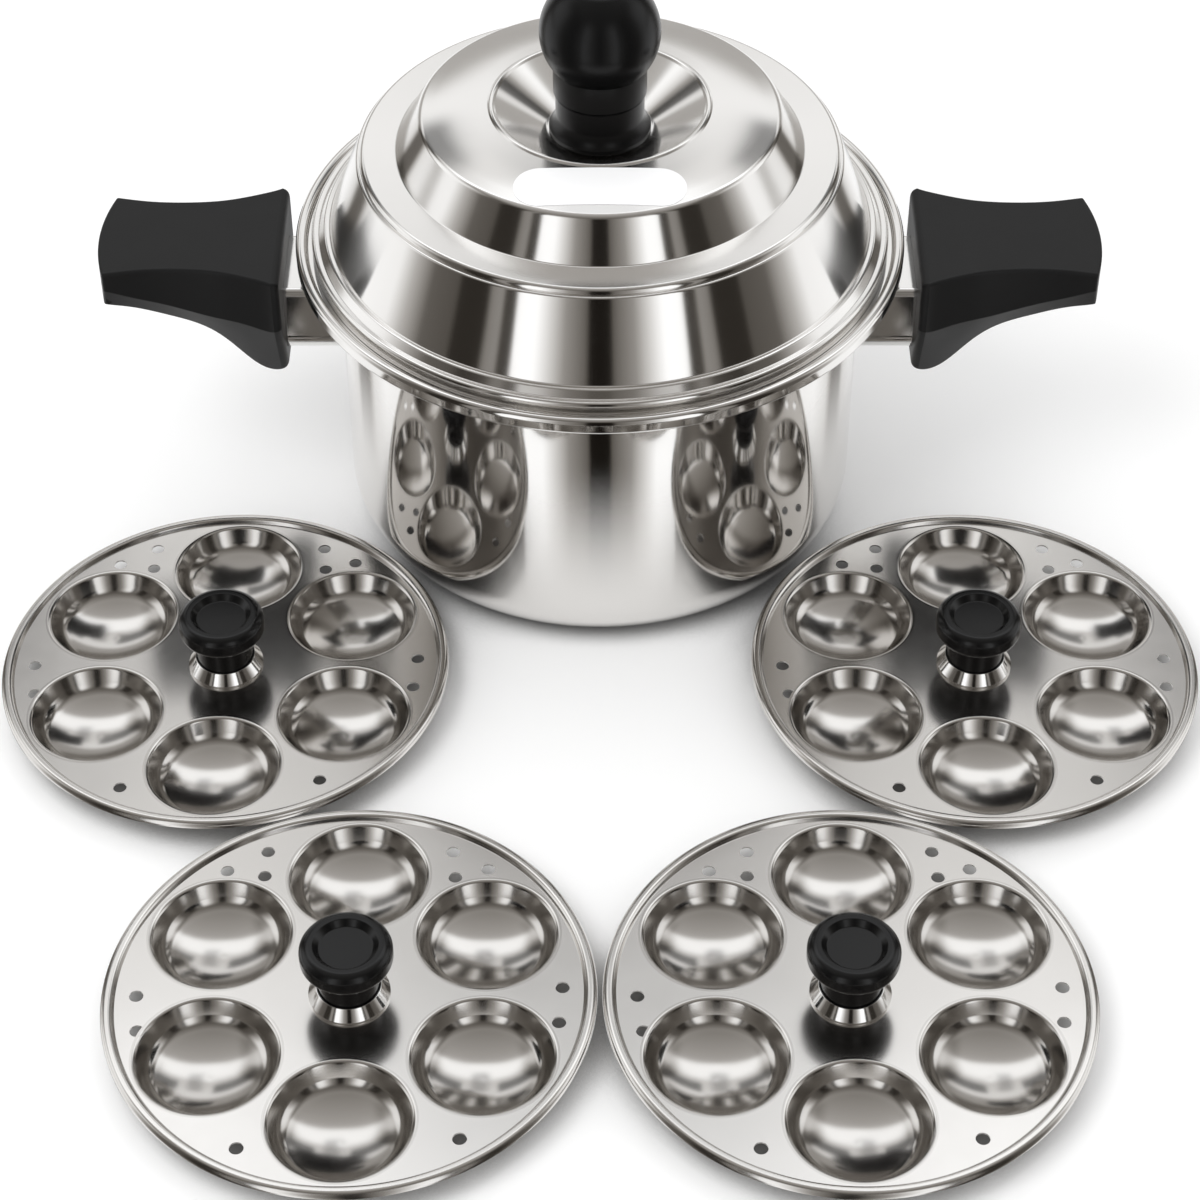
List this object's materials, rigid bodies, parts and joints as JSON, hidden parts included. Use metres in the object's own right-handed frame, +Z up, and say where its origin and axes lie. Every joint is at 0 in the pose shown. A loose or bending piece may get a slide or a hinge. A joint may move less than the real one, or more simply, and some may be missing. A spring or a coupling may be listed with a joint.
{
  "type": "idli steamer",
  "caption": "Deep stovetop steamer pot with side handles, a stepped domed lid with a ball knob, and flat round plates of shallow cups that each have a small knob, laid out in front.",
  "frame": {"origin": "centre of the pot's flat base, on the table", "axes": "+Z up, +X towards the right-hand handle, -Y towards the plates in front"},
  "size_m": [0.552, 0.589, 0.2868],
  "materials": {
    "polished_steel": "mirror polished stainless steel",
    "handle_bakelite": "satin moulded black",
    "knob_bakelite": "glossy moulded black",
    "brass": "plain machined",
    "zinc_steel": "bright zinc plated",
    "label": "plain white sticker"
  },
  "bodies": {
    "pot": {"pot_body": "polished_steel", "left_bracket": "polished_steel", "left_handle": "handle_bakelite", "left_handle_nut": "zinc_steel", "left_handle_screw": "zinc_steel", "right_bracket": "polished_steel", "right_handle": "handle_bakelite", "right_handle_nut": "zinc_steel", "right_handle_screw": "zinc_steel"},
    "lid": {"lid_shell": "polished_steel", "lid_label": "label", "lid_knob_collar": "knob_bakelite", "lid_knob": "knob_bakelite", "lid_knob_insert": "brass", "lid_knob_washer": "zinc_steel", "lid_knob_screw": "zinc_steel"},
    "rear_left_plate": {"rear_left_plate": "polished_steel", "rear_left_knob": "knob_bakelite", "rear_left_knob_ring": "polished_steel", "rear_left_knob_insert": "brass", "rear_left_washer": "zinc_steel", "rear_left_screw": "zinc_steel"},
    "rear_right_plate": {"rear_right_plate": "polished_steel", "rear_right_knob": "knob_bakelite", "rear_right_knob_ring": "polished_steel", "rear_right_knob_insert": "brass", "rear_right_washer": "zinc_steel", "rear_right_screw": "zinc_steel"},
    "front_left_plate": {"front_left_plate": "polished_steel", "front_left_knob": "knob_bakelite", "front_left_knob_ring": "polished_steel", "front_left_knob_insert": "brass", "front_left_washer": "zinc_steel", "front_left_screw": "zinc_steel"},
    "front_right_plate": {"front_right_plate": "polished_steel", "front_right_knob": "knob_bakelite", "front_right_knob_ring": "polished_steel", "front_right_knob_insert": "brass", "front_right_washer": "zinc_steel", "front_right_screw": "zinc_steel"}
  },
  "joints": [
    {"name": "lid_lift", "type": "slide", "parent": "pot", "child": "lid", "axis": [0, 0, 1], "range_m": [0, 0.2]},
    {"name": "rear_left_plate_lift", "type": "slide", "parent": "pot", "child": "rear_left_plate", "axis": [0, 0, 1], "range_m": [0, 0.1]},
    {"name": "rear_right_plate_lift", "type": "slide", "parent": "pot", "child": "rear_right_plate", "axis": [0, 0, 1], "range_m": [0, 0.1]},
    {"name": "front_left_plate_lift", "type": "slide", "parent": "pot", "child": "front_left_plate", "axis": [0, 0, 1], "range_m": [0, 0.1]},
    {"name": "front_right_plate_lift", "type": "slide", "parent": "pot", "child": "front_right_plate", "axis": [0, 0, 1], "range_m": [0, 0.1]}
  ]
}
